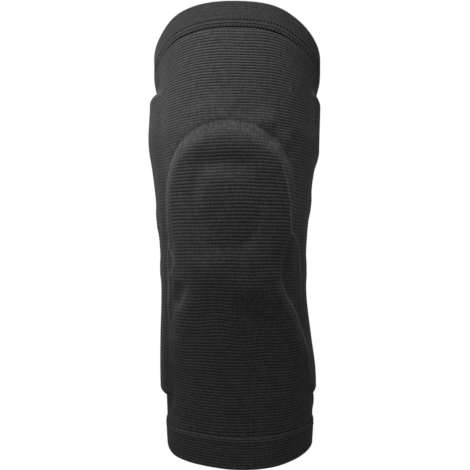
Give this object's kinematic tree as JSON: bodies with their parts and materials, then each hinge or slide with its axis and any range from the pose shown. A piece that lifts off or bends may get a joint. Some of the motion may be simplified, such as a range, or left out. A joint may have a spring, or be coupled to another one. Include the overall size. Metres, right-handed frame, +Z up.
{
  "type": "knee compression sleeve",
  "caption": "Pull-on knitted knee sleeve in the form it has when worn, with turned hems, a padded ring raised round the kneecap and a flat stay down each side.",
  "frame": {"origin": "middle of the knee inside the sleeve, on the leg's axis, level with the kneecap", "axes": "+Z up the leg to the thigh end, -Y out of the front of the knee, +X to the right as pictured"},
  "size_m": [0.139, 0.1529, 0.3661],
  "materials": {
    "knit": "matte ribbed knit, black",
    "hem": "matte fine knit, black",
    "pad": "matte foam, dark grey",
    "stay": "matte foam, dark grey"
  },
  "bodies": {
    "root": {"sleeve_body": "knit", "upper_hem": "hem", "lower_hem": "hem", "kneecap_ring": "pad", "side_stay_left": "stay", "side_stay_right": "stay"}
  },
  "joints": []
}
